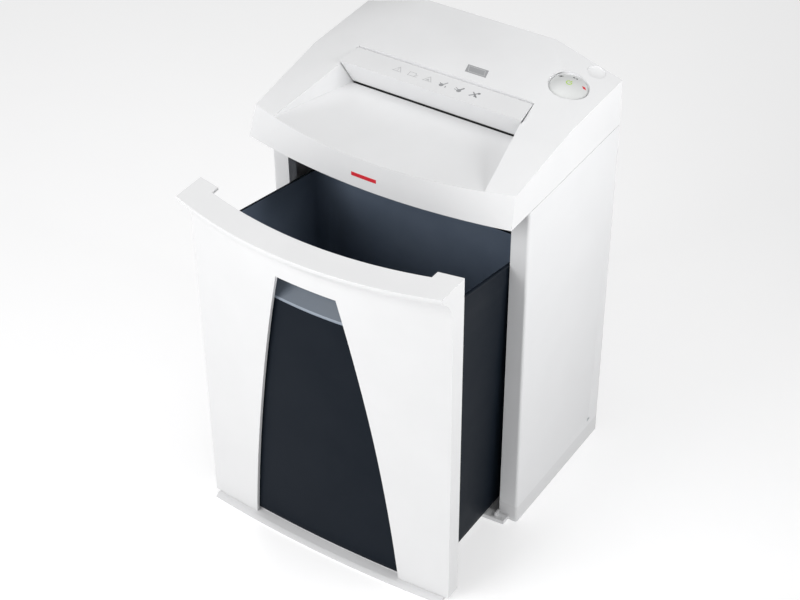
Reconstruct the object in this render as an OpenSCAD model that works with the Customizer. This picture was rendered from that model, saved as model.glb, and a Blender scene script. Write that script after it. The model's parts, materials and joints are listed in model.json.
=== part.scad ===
// Office paper shredder with a pull-out bin, a folding safety flap and a
// geared twin-shaft cutting head. Millimetres, +Z up, front towards -Y,
// origin on the floor at the centre of the cabinet's footprint.

/* [Cabinet] */
// Width over the cabinet sides
cab_w = 380; // [376:1:384]
// Depth of the cabinet without the front panel
cab_d = 224; // [222:1:228]
// Height of the seam between base tray and cabinet
base_top = 27; // [24:1:30]
// Height of the seam between cabinet and hood
cab_top = 516.5; // [515:0.5:518]
// Wall thickness of the moulded covers
wall = 3; // [2.5:0.5:3]

/* [Hood] */
// Height of the upper edge of the front fascia
fascia_top = 557.5; // [556:0.5:559]
// Height of the hood at its rear centre
hood_top = 609.5; // [607:0.5:612]
// How far the hood's lower front corners stand in front of the cabinet
overhang = 44.7; // [43:0.1:46]
// Bulge of the lower front edge
sag_low = 22; // [20:1:24]
// Bulge of the upper front edge
sag_high = 32.5; // [30:0.5:34]

/* [Drawer] */
// How far the drawer is pulled out at rest
drawer_out = 144; // [120:1:144]
// Height of the drawer front's top shelf
shelf_top = 514; // [513:0.5:515]
// Half the width of the drawer front
panel_half = 189; // [188:0.5:189]
// Bulge of the drawer front's upper lip
lip_sag = 32.8; // [30:0.1:34]

/* [Cutting head] */
// Distance between the two cutter shafts
cutter_gap = 36; // [36:1:36]
// Outer radius of the cutter discs
disc_r = 20; // [19:0.5:20]
// Number of cutter discs on each shaft
disc_count = 20; // [16:1:20]
// Spacing of the discs along a shaft
disc_pitch = 11.8; // [11.8:0.1:12]
// Height of the cutter shafts
cut_z = 492; // [490:1:494]

/* [Controls] */
// Diameter of the round control button
button_d = 49; // [46:1:50]
// Opening angle of the safety flap, drawn closed
flap_angle = 0; // [0:5:70]

/* [Hidden] */

$fn = 48;
eps = 0.01;
half_w = cab_w / 2;
front_y = -cab_d / 2;
back_y = cab_d / 2;

// ---- plan outlines -------------------------------------------------------
arc_steps = 16;

// A front edge that bulges towards -Y: y at the ends, bulge in the middle
function bow(half, y_end, sag) =
    [for (i = [0:arc_steps]) let (x = -half + 2 * half * i / arc_steps)
        [x, y_end - sag * (1 - pow(x / half, 2))]];

// Quarter-round corner points around a centre, from one angle to another
function corner(c, r, a0, a1, n = 5) =
    [for (i = [0:n]) let (a = a0 + (a1 - a0) * i / n) c + r * [cos(a), sin(a)]];

// Closed outline: bowed front, straight sides, rounded rear corners
function bowed_plan(half, y_end, sag, y_back, r_back) = concat(
    bow(half, y_end, sag),
    corner([half - r_back, y_back - r_back], r_back, 0, 90),
    corner([-half + r_back, y_back - r_back], r_back, 90, 180));

// Closed loft through outlines of equal length, given as [z, points]
module loft(levels) {
    n = len(levels[0][1]);
    m = len(levels);
    pts = [for (lv = levels) for (p = lv[1]) [p[0], p[1], lv[0]]];
    sides = [for (j = [0:m - 2]) for (i = [0:n - 1])
        let (a = j * n + i, b = j * n + (i + 1) % n)
        each [[a, b + n, b], [a, a + n, b + n]]];
    bottom = [[for (i = [0:n - 1]) i]];
    top = [[for (i = [0:n - 1]) m * n - 1 - i]];
    polyhedron(points = pts, faces = concat(sides, bottom, top), convexity = 10);
}

// Cylinder along +X that starts at a point
module rod_x(p, r, len) {
    translate(p)
        rotate([0, 90, 0])
            cylinder(r = r, h = len);
}

// Cylinder along +Y that starts at a point
module rod_y(p, r, len) {
    translate(p)
        rotate([-90, 0, 0])
            cylinder(r = r, h = len);
}

// Box from its lowest and highest corners
module box(a, b) {
    translate(a)
        cube(b - a);
}

// Pan-head screw along -Z with its seat at the origin
module screw_z(d, len) {
    difference() {
        union() {
            cylinder(d = 1.9 * d, h = 0.6 * d);
            translate([0, 0, -len])
                cylinder(d = d, h = len + eps);
        }
        translate([0, 0, 0.25 * d])
            cylinder(d = 0.9 * d, h = d, $fn = 6);
    }
}

// ---- cabinet -------------------------------------------------------------
corner_r = 4;
tray_floor = 3.5;
lip_top = 6.2;
rim_top = 44;
opening_top_half = 165.4;
opening_low_half = 163;
rail_half = opening_top_half - 0.4;
flange_z = cab_top - 3;
seam_screws = [[half_w, 86, 38.5], [-half_w, 86, 38.5]];
foot_spots = [for (x = [-160, 160], y = [-90, 90]) [x, y]];
rear_screws = [for (x = [-180, 180], z = [60, 280, 500]) [x, z]];
gland_spot = [-150, 60];

// Footprint with round front corners
module footprint(inset = 0) {
    w = half_w - inset;
    polygon(concat(
        corner([w - corner_r + inset, front_y + corner_r], corner_r - inset, -90, 0, 6),
        [[w, back_y - inset], [-w, back_y - inset]],
        corner([-w + corner_r - inset, front_y + corner_r], corner_r - inset, 180, 270, 6)));
}

module base_tray() {
    color("gainsboro")
    difference() {
        union() {
            linear_extrude(height = base_top)
                footprint();
            // low bowed lip in front of the opening
            linear_extrude(height = lip_top)
                polygon(concat(bow(177, -125, 9), [[177, front_y + 1], [-177, front_y + 1]]));
            // upright edge that locates the cabinet sides
            for (s = [-1, 1])
                box([s > 0 ? 184 : -186.9, -95, base_top - 2], [s > 0 ? 186.9 : -184, 100, rim_top]);
        }
        // hollow over the floor, open to the front between the posts
        difference() {
            translate([0, 0, tray_floor])
                linear_extrude(height = base_top)
                    footprint(wall);
            for (x = [-120, -40, 40, 120])
                box([x - 2, -108, 0], [x + 2, 100, lip_top]);
            for (s = [-1, 1]) {
                box([s > 0 ? 184 : -186.9, -95, base_top - 7], [s > 0 ? 186.9 : -184, 100, rim_top + 1]);
                box([s > 0 ? 184 : -188, -95, base_top - 7], [s > 0 ? 188 : -184, 100, base_top - 1]);
            }
        }
        box([-opening_low_half, front_y - 1, lip_top], [opening_low_half, front_y + 5, base_top + 1]);
        box([-160, front_y - 1, tray_floor], [160, front_y + 5, lip_top + 1]);
        for (p = foot_spots)
            translate([p[0], p[1], 0])
                cylinder(r = 9, h = 1.5);
        for (p = seam_screws)
            rod_x([p[0] > 0 ? 180 : -190, p[1], p[2]], 1.75, 10);
    }
    // small guide ribs on the lip
    color("gainsboro")
    for (s = [-1, 1])
        box([s * 163 - 1.2, -123, lip_top - eps], [s * 163 + 1.2, -113, 12]);
}

module rubber_feet() {
    color("dimgray")
    for (p = foot_spots)
        translate([p[0], p[1], 0])
            cylinder(r = 9, h = 1.5);
}

// Side wall with its front return, drawn for the right-hand side
module cabinet_side() {
    h = cab_top - base_top;
    slope = (opening_low_half - opening_top_half) / h;
    difference() {
        union() {
            difference() {
                translate([0, 0, base_top])
                    linear_extrude(height = h)
                        intersection() {
                            difference() {
                                footprint();
                                footprint(wall);
                            }
                            polygon([[150, -120], [195, -120], [195, back_y], [150, back_y]]);
                        }
                box([150, back_y - wall - 1, 0], [half_w - wall, back_y + 1, 600]);
            }
            // jamb behind the front return
            translate([0, front_y + 16, 0])
                rotate([90, 0, 0])
                    linear_extrude(height = 15)
                        polygon([[opening_low_half - 1, base_top], [opening_low_half + 2.5, base_top],
                                 [opening_top_half + 2.5, cab_top], [opening_top_half - 1, cab_top]]);
            // top flange under the deck plate
            box([170.4, front_y + 2.5, flange_z], [half_w - wall + 1, back_y - wall, cab_top]);
            // rear flange behind the rear panel
            box([174, back_y - wall - 2.5, base_top], [half_w - wall + 1, back_y - wall, cab_top]);
        }
        // slanted edge of the front opening
        translate([0, front_y + 20, 0])
            rotate([90, 0, 0])
                linear_extrude(height = 40)
                    polygon([[100, base_top - 1], [opening_low_half + slope, base_top - 1],
                             [opening_top_half - slope, cab_top + 1], [100, cab_top + 1]]);
        rod_x([180, seam_screws[0][1], seam_screws[0][2]], 1.75, 20);
        rod_x([half_w - 1.6, seam_screws[0][1], seam_screws[0][2]], 3.5, 5);
        for (p = rear_screws)
            rod_y([abs(p[0]), 100, p[1]], 1.5, 20);
        for (y = deck_screw_y)
            translate([178, y, 500])
                cylinder(r = 2, h = 30);
        for (y = hood_screw_y)
            translate([hood_boss_x, y, 500])
                cylinder(r = 2, h = 30);
    }
}

module cabinet_left() {
    color("whitesmoke")
    mirror([1, 0, 0])
        cabinet_side();
}

module cabinet_right() {
    color("whitesmoke")
    difference() {
        cabinet_side();
        rod_y([switch_spot[0], front_y - 1, switch_spot[1]], 1.9, 8);
    }
}

module rear_panel() {
    inner = half_w - wall;
    color("whitesmoke")
    difference() {
        box([-inner, back_y - wall, base_top], [inner, back_y, cab_top]);
        for (i = [0:11], row = [0, 1])
            box([-33 + 12 * i, back_y - 5, 425 + 36 * row], [-29.5 + 12 * i, back_y + 1, 453 + 36 * row]);
        for (p = rear_screws)
            rod_y([p[0], 100, p[1]], 1.5, 20);
        rod_y([gland_spot[0], 100, gland_spot[1]], 8, 20);
    }
}

module front_cross_rail() {
    color("dimgray")
    difference() {
        box([-rail_half, front_y + 3, 496], [rail_half, front_y + 18, flange_z]);
        box([-200, front_y + 4.5, 497.5], [200, front_y + 30, flange_z - 1.5]);
    }
}

// Countersunk-look screws that join the cabinet to the base tray
module cabinet_screws() {
    color("silver")
    for (p = seam_screws)
        mirror([p[0] < 0 ? 1 : 0, 0, 0])
            difference() {
                union() {
                    rod_x([180, p[1], p[2]], 1.75, 9);
                    rod_x([half_w - 1.6, p[1], p[2]], 3.5, 1.3);
                }
                translate([half_w - 1, p[1], p[2]])
                    rotate([0, 90, 0])
                        cylinder(r = 1.5, h = 3, $fn = 6);
            }
}

module rear_panel_screws() {
    color("silver")
    for (p = rear_screws)
        difference() {
            union() {
                rod_y([p[0], 104, p[1]], 1.5, 9);
                rod_y([p[0], back_y, p[1]], 3.2, 1.6);
            }
            translate([p[0], back_y + 0.8, p[1]])
                rotate([-90, 0, 0])
                    cylinder(r = 1.4, h = 3, $fn = 6);
        }
}

module cable_gland() {
    color("dimgray")
    difference() {
        union() {
            rod_y([gland_spot[0], back_y, gland_spot[1]], 11, 3);
            rod_y([gland_spot[0], back_y - wall, gland_spot[1]], 8, wall + 1);
            rod_y([gland_spot[0], back_y - wall - 2, gland_spot[1]], 9.5, 2);
        }
        rod_y([gland_spot[0], 90, gland_spot[1]], 3.6, 40);
    }
}

// ---- hood ----------------------------------------------------------------
low_y = front_y - overhang;
high_y = low_y + 13.6;
high_half = 187;
side_knee = [189, -11, fascia_top + 21.4];
side_back = [189, back_y, fascia_top + 23.5];
crest_back = [94, back_y, hood_top];
crest_front = [124, 0, fascia_top + 30];
slot_half = 121;
slot_front = -29.5;
slot_z = 550;
flap_front = [132, -38.3, 584.8];
flap_rear = [127.5, 0, 587];
flap_low = [slot_half, -25.5, 552];
pin_axis = [-3.2, 583.8];
pin_r = 1.5;
barrel_r = 3.2;
hood_boss_x = 177;
hood_screw_y = [-85, 95];
deck_screw_y = [-50, 50];
button_spot = [146.3, 51.4, 588];
button_tilt = [4.8, 11.9, 0];
button_r = button_d / 2;
bezel_w = 1.5;
dome_r = 70;
dome_rise = 4.4;
cap_spot = [159, 99, 589.2];
cap_tilt = [4, 15.6, 0];
cap_r = 12;

// Convex hull of a list of points
module wrap(points) {
    hull()
        polyhedron(points = points, faces = [[for (i = [0:len(points) - 1]) i]]);
}

// A point and its mirror image across the middle plane
function pair(p) = [p, [-p[0], p[1], p[2]]];
function raise(points, z) = [for (p = points) [p[0], p[1], z]];

// Convex outer body, shrunk by a margin
module hood_body(g) {
    top = g * 1.12;
    wrap(concat(
        raise(bow(half_w - g, low_y + g, sag_low), cab_top - (g > 0 ? 1 : 0)),
        raise(bow(high_half - g, high_y + g, sag_high), fascia_top - top),
        pair([half_w - g, back_y - g, cab_top - (g > 0 ? 1 : 0)]),
        pair(side_knee - [g, 0, top]),
        pair(side_back - [g, g, top]),
        pair(crest_back - [g / 2, g, top]),
        pair(crest_front - [g / 2, 0, top])));
}

// Paper tray sunk into the hood in front of the flap, grown by a margin
module tray_space(g) {
    edge = [for (p = bow(high_half, high_y, sag_high)) if (abs(p[0]) < 155) p];
    tip_x = 152 + 1.2 * g;
    tip_y = high_y - sag_high * (1 - pow(152 / high_half, 2));
    low = concat(
        [for (p = edge) [p[0], p[1] - 3 + g, fascia_top - 0.2 - g]],
        pair([tip_x, tip_y - 3 + g, fascia_top - 0.2 - g]),
        pair([slot_half + 1.2 * g, -24 + 1.2 * g, slot_z - g]),
        pair([flap_front[0] + 1.2 * g, flap_front[1], flap_front[2] + 0.4]));
    wrap(concat(low, raise(low, 650)));
}

// Space for the flap and its barrel, grown by a margin
module flap_space(g) {
    low = concat(
        pair([flap_rear[0] + g, flap_rear[1] + g, pin_axis[1] - barrel_r - 1 - g]),
        pair([flap_front[0] + g, flap_front[1] - 0.2, flap_front[2] - 3]),
        pair([flap_low[0] + g, flap_low[1] - 0.5, slot_z - 0.5]));
    wrap(concat(low, raise(low, 650)));
}

module at_button() {
    translate(button_spot)
        rotate(button_tilt)
            children();
}

module at_cap() {
    translate(cap_spot)
        rotate(cap_tilt)
            children();
}

module hood() {
    color("white")
    difference() {
        union() {
            difference() {
                hood_body(0);
                difference() {
                    hood_body(wall);
                    tray_space(wall);
                    flap_space(wall);
                    // floor of the front overhang
                    box([-200, -200, cab_top - 2], [200, front_y + 3, cab_top + wall]);
                    // screw bosses that reach up to the roof
                    for (s = [-1, 1], y = hood_screw_y)
                        translate([s * hood_boss_x, y, deck_top])
                            cylinder(r = 5, h = 80);
                }
                // the head stays open underneath, behind the overhang
                box([-half_w + wall, front_y + 3, cab_top - 1], [half_w - wall, back_y - wall, deck_top]);
            }
        }
        tray_space(0);
        flap_space(0.4);
        // the feed slot opens down into the throat
        box([-slot_half, slot_front, 530], [slot_half, -20, 560]);
        box([-slot_half, -30, 530], [slot_half, -1, 575]);
        for (s = [-1, 1]) {
            for (y = hood_screw_y)
                translate([s * hood_boss_x, y, 500])
                    cylinder(r = 1.8, h = 32);
            rod_x([s > 0 ? 120 : -134, pin_axis[0], pin_axis[1]], pin_r, 14);
        }
        at_button()
            translate([0, 0, -20])
                cylinder(r = button_r + bezel_w, h = 30);
        at_cap()
            translate([0, 0, -20])
                cylinder(r = cap_r, h = 30);
    }
}

module hood_screws() {
    color("silver")
    for (s = [-1, 1], y = hood_screw_y)
        translate([s * hood_boss_x, y, flange_z])
            mirror([0, 0, 1])
                screw_z(3.6, 17);
}

// Shell that covers the feed slot; its rear barrel turns on two pins
module safety_flap() {
    rear = flap_rear[0] - 0.2;
    turn = [0, pin_axis[0], pin_axis[1]];
    color("white")
    translate(turn)
        rotate([-flap_angle, 0, 0])
            translate(-turn)
                difference() {
                    union() {
                        difference() {
                            wrap(concat(
                                pair([rear, pin_axis[0], pin_axis[1] + barrel_r]),
                                pair([flap_front[0] - 0.3, flap_front[1], flap_front[2]]),
                                pair([flap_low[0] - 0.3, flap_low[1], flap_low[2]]),
                                pair([flap_low[0] - 0.9, flap_low[1] + 2.6, flap_low[2] + 0.3]),
                                pair([rear - 0.6, pin_axis[0], pin_axis[1] - 1])));
                            wrap(concat(
                                pair([rear - 3.4, 3, 584.2]),
                                pair([flap_front[0] - 3.6, flap_front[1] + 3.2, flap_front[2] - 2.7]),
                                pair([flap_low[0] - 3.6, flap_low[1] + 2.5, flap_low[2] - 4]),
                                pair([rear - 3.4, 3, 545])));
                        }
                        rod_x([-rear + 0.2, pin_axis[0], pin_axis[1]], barrel_r, 2 * rear - 0.4);
                    }
                    for (s = [-1, 1])
                        rod_x([s > 0 ? 113 : -133, pin_axis[0], pin_axis[1]], pin_r + 0.06, 20);
                }
}

module flap_pins() {
    color("silver")
    for (s = [-1, 1])
        rod_x([s > 0 ? 115 : -131, pin_axis[0], pin_axis[1]], pin_r, 16);
}

// Funnel that leads the paper from the slot to the cutters
module feed_throat() {
    color("dimgray")
    union() {
        translate([-120, 0, 0])
            rotate([90, 0, 90])
                linear_extrude(height = 240)
                    polygon([[-33, 546.5], [-30, 546.5], [-28.5, 515], [-31.5, 515]]);
        translate([-120, 0, 0])
            rotate([90, 0, 90])
                linear_extrude(height = 240)
                    polygon([[-20, 547], [-23.5, 515], [-20.5, 515], [-17, 546], [-4, 573], [-7, 573.5]]);
        for (s = [-1, 1])
            box([s > 0 ? 117.5 : -120, -32, 516], [s > 0 ? 120 : -117.5, -19, 546]);
    }
}

// Light barrier that starts the machine when paper enters the slot
module feed_sensor() {
    color("black")
    box([-7, -42, 530], [7, -33, 545]);
}

// ---- control panel -------------------------------------------------------
module button_bezel() {
    color("silver")
    at_button()
        difference() {
            translate([0, 0, -13])
                cylinder(r = button_r + bezel_w, h = 13.6);
            translate([0, 0, -14])
                cylinder(r = button_r + 0.3, h = 20);
        }
}

module control_button() {
    color("lightgray")
    at_button()
        union() {
            intersection() {
                translate([0, 0, -3.4])
                    cylinder(r = button_r, h = 12);
                translate([0, 0, dome_rise - dome_r])
                    sphere(r = dome_r, $fn = 96);
            }
            for (a = [0:120:240])
                rotate([0, 0, a])
                    translate([14, 0, -9.4])
                        cylinder(r = 2, h = 7.5);
        }
}

module control_board() {
    color("darkgreen")
    at_button()
        union() {
            translate([-26, -20, -14.6])
                cube([52, 40, 1.6]);
            for (a = [0:120:240])
                rotate([0, 0, a])
                    translate([11, -3, -13.1])
                        cube([6, 6, 2]);
        }
}

module blanking_cap() {
    color("lightgray")
    at_cap()
        difference() {
            translate([0, 0, -5])
                cylinder(r = cap_r, h = 5.3);
            translate([0, 0, -0.6])
                cylinder(r = cap_r - 1.2, h = 3);
            translate([0, 0, -6])
                cylinder(r = cap_r - 2, h = 3.6);
        }
}

// ---- drawer: front panel, bin and carrier, drawn pulled out ---------------
panel_low = 6.7;
window_low_half = 114.9;
window_top_half = 43.5;
window_top = 453;
window_bulge = 8.2;
// Height, y of the panel's ends and bulge, from the bottom up to the lip
panel_levels = [
    [panel_low, -285, 8.4], [120, -284, 13.4], [235, -283, 18.1], [350, -282.5, 23],
    [464, -282.5, 27.6], [474, -283, 28.3], [485, -286.6, 29.5], [498.6, -295.8, 31.5],
    [505, -303, 32.5], [509, -306.5, lip_sag], [shelf_top - 1, -307, lip_sag],
    [shelf_top, -306.4, lip_sag]];
// Rear edge of the side cheeks: y near the top, and how it leans forward below that
cheek_back = -258.4;
cheek_lean = 0.0084;
cheek_upright = 480;
// Corners of the end tabs beside the notch in the shelf: x and y
tab_inner = [157, -264.5];
tab_outer = [190, -258];

function flip(list) = [for (i = [len(list) - 1:-1:0]) list[i]];
function cheek_y(z) = cheek_back - cheek_lean * max(0, cheek_upright - z);
function front_at(lv, x) = lv[1] - lv[2] * (1 - pow(x / panel_half, 2));
function level_at(z) = let (
    i = max([for (k = [0:len(panel_levels) - 2]) if (panel_levels[k][0] <= z) k]),
    a = panel_levels[i],
    b = panel_levels[i + 1]) a + (b - a) * (z - a[0]) / (b[0] - a[0]);
function window_half(z) = let (s = (window_top - z) / (window_top - panel_low))
    window_top_half + (window_low_half - window_top_half) * s + 4 * window_bulge * s * (1 - s);

module panel_outer() {
    loft([for (lv = panel_levels)
        let (back = cheek_y(lv[0]))
        [lv[0], concat(bow(panel_half, lv[1], lv[2]), [[panel_half, back], [-panel_half, back]])]]);
}

module panel_inner() {
    under = shelf_top - 3.5;
    levels = concat([for (lv = panel_levels) if (lv[0] < 470) lv],
        [[472, -282.8, 28.2], [482, -285.2, 29.2], [495.5, -293.6, 31], [501, -299.5, 32], [under, -303.4, 32.4]]);
    loft([for (lv = levels)
        [lv[0] == panel_low ? 0 : lv[0],
         concat(bow(panel_half - wall, lv[1] + wall, lv[2]),
                [[panel_half - wall, -240], [-panel_half + wall, -240]])]]);
}

// Band just behind the front surface, for the window's rim
module panel_band(depth) {
    loft([for (lv = panel_levels) if (lv[0] < 470)
        [lv[0], concat(bow(panel_half - 1, lv[1] + 0.5, lv[2]),
                       flip(bow(panel_half - 1, lv[1] + depth, lv[2])))]]);
}

module window_prism(grow, z0) {
    side = concat([for (i = [0:11]) let (z = z0 + (window_top - z0) * i / 12) [window_half(z) + grow, z]],
                  [[window_top_half + grow, window_top + grow]]);
    translate([0, -200, 0])
        rotate([90, 0, 0])
            linear_extrude(height = 200)
                polygon(concat(side, flip([for (p = side) [-p[0], p[1]]])));
}

panel_bosses = [for (s = [-1, 1], p = [[95, 390], [143, 90]]) [s * p[0], p[1]]];

module front_panel() {
    color("white")
    difference() {
        union() {
            difference() {
                panel_outer();
                difference() {
                    panel_inner();
                    intersection() {
                        panel_band(5);
                        window_prism(2.5, 1);
                    }
                }
            }
            // screw bosses that end just in front of the bin
            difference() {
                for (p = panel_bosses)
                    rod_y([p[0], front_at(level_at(p[1]), p[0]) + 2, p[1]], 5,
                          bin_front(p[0], p[1]) - front_at(level_at(p[1]), p[0]));
                bin_body(-0.3);
            }
        }
        window_prism(0, 1);
        // shelf narrows between the two end tabs
        translate([0, 0, shelf_top - 5])
            linear_extrude(height = 10)
                polygon(concat(bow(156.6, -276.8, 23.4),
                               [tab_inner, tab_outer, [tab_outer[0], -240]],
                               [[-tab_outer[0], -240], [-tab_outer[0], tab_outer[1]], [-tab_inner[0], tab_inner[1]]]));
        for (p = panel_bosses)
            rod_y([p[0], bin_front(p[0], p[1]) - 3.9, p[1]], 1.45, 20);
    }
}

bin_wall = 2.2;
bead = 1.5;
bin_low = 8.5;
bin_ledge = 412;
bin_shoulder = 430;
// Height, half width, y of the front's ends, bulge, y of the back, rear corner radius
bin_levels = [
    [bin_low, 150, -281.9, 6, -43, 20],
    [bin_ledge, 162, -277.8, 23, -39.2, 25],
    [bin_shoulder, 162.6, -262, 22, -39, 25],
    [475, 163.8, -262, 22, -38.6, 25]];
rim_slope = atan(0.19);
rim_pivot = [0, -163, 439.2];

function bin_plan(lv, g) = bowed_plan(lv[1] - g, lv[2] + g, lv[3], lv[4] - g, lv[5] - g);
// Front surface of the bin where it fans out from the foot's corners to the ledge
function bin_front(x, z) = let (
    foot = bin_levels[0],
    ledge = bin_levels[1],
    t = (z - bin_low) / (bin_ledge - bin_low),
    top_x = (abs(x) - (1 - t) * foot[1]) / t)
    (1 - t) * foot[2] + t * (ledge[2] - ledge[3] * (1 - pow(top_x / ledge[1], 2)));

module bin_body(g) {
    for (i = [0:2]) {
        low = bin_levels[i];
        high = bin_levels[i + 1];
        wrap(concat(raise(bin_plan(low, g), low[0] + (i == 0 ? max(g, 0) : 0)),
                    raise(bin_plan(high, g), high[0])));
    }
}

// Half space above the sloping rim
module above_rim(drop) {
    translate(rim_pivot)
        rotate([-rim_slope, 0, 0])
            translate([-250, -250, -drop])
                cube([500, 500, 200]);
}

module waste_bin() {
    color("darkslategray")
    difference() {
        union() {
            difference() {
                bin_body(0);
                above_rim(0);
            }
            // rolled bead along the rim
            intersection() {
                wrap(concat(raise(bin_plan(bin_levels[2], -bead), 410), raise(bin_plan(bin_levels[3], -bead), 475)));
                translate(rim_pivot)
                    rotate([-rim_slope, 0, 0])
                        translate([-250, -124, -4])
                            cube([500, 374, 4]);
            }
        }
        bin_body(bin_wall);
        for (p = panel_bosses)
            rod_y([p[0], bin_front(p[0], p[1]) - 3, p[1]], 1.8, 10);
    }
}

// Floor plate of the drawer with the visible plinth strip at its front
module drawer_carrier() {
    color("gainsboro")
    union() {
        // z of the underside, z of the top, y of the front's ends, y of the back's ends
        for (lv = [[1, 3, -295, -270.2], [2, 4.8, -292.5, -270.6], [3, 6.5, -289.5, -271]])
            translate([0, 0, lv[0]])
                linear_extrude(height = lv[1] - lv[0])
                    polygon(concat(bow(182.5, lv[2], 9.8), flip(bow(182.5, lv[3], 9.4))));
        translate([0, 0, 5.2])
            linear_extrude(height = 3)
                polygon(concat(bow(139, -279.6, 5.2), flip(bow(139, -274.9, 5.4))));
        translate([0, 0, lip_top + 0.3])
            linear_extrude(height = bin_low - lip_top - 0.3)
                polygon(concat(bow(142, -280, 5.6), [[142, -45], [-142, -45]]));
    }
}

module panel_screws() {
    color("silver")
    for (p = panel_bosses)
        translate([p[0], bin_front(p[0], p[1]) + bin_wall + 1.2, p[1]])
            rotate([-90, 0, 0])
                screw_z(2.9, 6.6);
}

// ---- head: deck and cutter block -----------------------------------------
nip_y = -26;
front_shaft = [nip_y - cutter_gap / 2, cut_z];
rear_shaft = [nip_y + cutter_gap / 2, cut_z];
core_r = 15.2;
journal_r = 8;
disc_w = 5.7;
plate_x = 128;
plate_t = 3;
deck_t = 2;
deck_z = cab_top;
deck_top = deck_z + deck_t;
rod_spots = [[-70, 466], [18, 466], [-76, 512], [24, 512]];
motor_spot = [66, 492];
motor_half = 34;
bolt_reach = 29;

module deck_plate() {
    color("silver")
    difference() {
        box([-186.5, front_y + 3.2, deck_z], [186.5, back_y - 3.2, deck_top]);
        box([-138, -86, 500], [133, 32, 530]);
        box([-138, 20, 500], [-126, 62, 530]);
        box([8, -86, 500], [170, 101, 530]);
        for (s = [-1, 1]) {
            for (y = hood_screw_y)
                translate([s * hood_boss_x, y, 500])
                    cylinder(r = 2, h = 40);
            for (y = deck_screw_y)
                translate([s * 178, y, 500])
                    cylinder(r = 2, h = 40);
        }
        for (s = [-1, 1], y = foot_screw_y)
            translate([s * 139, y, 500])
                cylinder(r = 1.75, h = 40);
    }
}

foot_screw_y = [-93, 105];

module deck_screws() {
    color("silver")
    union() {
        for (s = [-1, 1], y = deck_screw_y)
            translate([s * 178, y, deck_top])
                screw_z(3.9, 7);
        for (s = [-1, 1], y = foot_screw_y)
            translate([s * 139, y, deck_top + 2])
                screw_z(3.5, 7);
    }
}

// Side plate of the cutter block with feet that stand on the deck
module side_plate(outline) {
    difference() {
        union() {
            translate([plate_x, 0, 0])
                rotate([90, 0, 90])
                    linear_extrude(height = plate_t)
                        polygon(outline);
            box([plate_x, -100, deck_top], [146, -88, deck_top + 2]);
            box([plate_x, 102, deck_top], [146, 108, deck_top + 2]);
        }
        for (p = [front_shaft, rear_shaft])
            rod_x([120, p[0], p[1]], 11, 20);
        for (p = rod_spots)
            rod_x([120, p[0], p[1]], 4, 20);
        for (y = foot_screw_y)
            translate([139, y, 500])
                cylinder(r = 1.75, h = 40);
    }
}

module side_plate_left() {
    color("lightsteelblue")
    mirror([1, 0, 0])
        side_plate([[-84, 454], [52, 454], [60, deck_top], [108, deck_top], [108, 530], [50, 544],
                    [-84, 544], [-100, 534], [-100, deck_top], [-84, deck_top]]);
}

module side_plate_right() {
    color("lightsteelblue")
    difference() {
        side_plate([[-84, 454], [50, 454], [60, 458], [100, 458], [100, deck_top], [108, deck_top],
                    [108, 540], [60, 556], [22, 567], [-2, 567], [-6, 548], [-24, 544], [-84, 544],
                    [-100, 534], [-100, deck_top], [-84, deck_top]]);
        rod_x([120, motor_spot[0], motor_spot[1]], 6, 20);
        for (p = motor_corners)
            rod_x([120, p[0], p[1]], 2, 20);
        for (p = [first_spot, second_spot])
            rod_x([120, p[0], p[1]], pin_shaft_r, 20);
        for (p = post_spots)
            rod_x([120, p[0], p[1]], 1.5, 20);
    }
}

module tie_rods() {
    color("silver")
    for (p = rod_spots) {
        rod_x([-plate_x - 9, p[0], p[1]], 4, 2 * plate_x + 18);
        for (x = [-plate_x - plate_t - 4, plate_x + plate_t])
            translate([x, p[0], p[1]])
                rotate([0, 90, 0])
                    cylinder(r = 7, h = 4, $fn = 6);
    }
}

module shaft_bushes() {
    color("goldenrod")
    for (s = [-1, 1], p = [front_shaft, rear_shaft])
        difference() {
            rod_x([s > 0 ? plate_x - 1 : -plate_x - plate_t, p[0], p[1]], 11, plate_t + 1);
            rod_x([s > 0 ? plate_x - 3 : -plate_x - 6, p[0], p[1]], journal_r + 0.05, 10);
        }
}

// Solid steel cutting shaft: core, journals and a row of discs
module cutter(shaft, first_x, end_x) {
    union() {
        rod_x([-126, shaft[0], shaft[1]], core_r, 252);
        rod_x([-134, shaft[0], shaft[1]], journal_r, 134 + end_x);
        for (i = [0:disc_count - 1])
            rod_x([first_x + i * disc_pitch, shaft[0], shaft[1]], disc_r, disc_w);
    }
}

module cutter_front() {
    color("darkgray")
    cutter(front_shaft, -disc_count * disc_pitch / 2, 139);
}

module cutter_rear() {
    color("darkgray")
    cutter(rear_shaft, -disc_count * disc_pitch / 2 + disc_pitch / 2, 150);
}

// Comb whose fingers reach between the discs and strip the paper off
module stripper_comb(shaft, side, first_x) {
    finger_w = 5.3;
    difference() {
        union() {
            box([-plate_x + 0.2, min(shaft[0] + side * 22.5, shaft[0] + side * 27.5), cut_z - 13],
                [plate_x - 0.2, max(shaft[0] + side * 22.5, shaft[0] + side * 27.5), cut_z + 13]);
            for (i = [0:disc_count - 2])
                box([first_x + i * disc_pitch + disc_w + 0.4, min(shaft[0] + side * 12, shaft[0] + side * 23), cut_z - 11],
                    [first_x + i * disc_pitch + disc_w + 0.4 + finger_w,
                     max(shaft[0] + side * 12, shaft[0] + side * 23), cut_z + 11]);
        }
        rod_x([-140, shaft[0], shaft[1]], core_r + 0.5, 280);
        for (p = rod_spots)
            rod_x([-140, p[0], p[1]], 4, 280);
    }
}

module stripper_comb_front() {
    color("dimgray")
    stripper_comb(front_shaft, -1, -disc_count * disc_pitch / 2);
}

module stripper_comb_rear() {
    color("dimgray")
    stripper_comb(rear_shaft, 1, -disc_count * disc_pitch / 2 + disc_pitch / 2);
}

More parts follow.
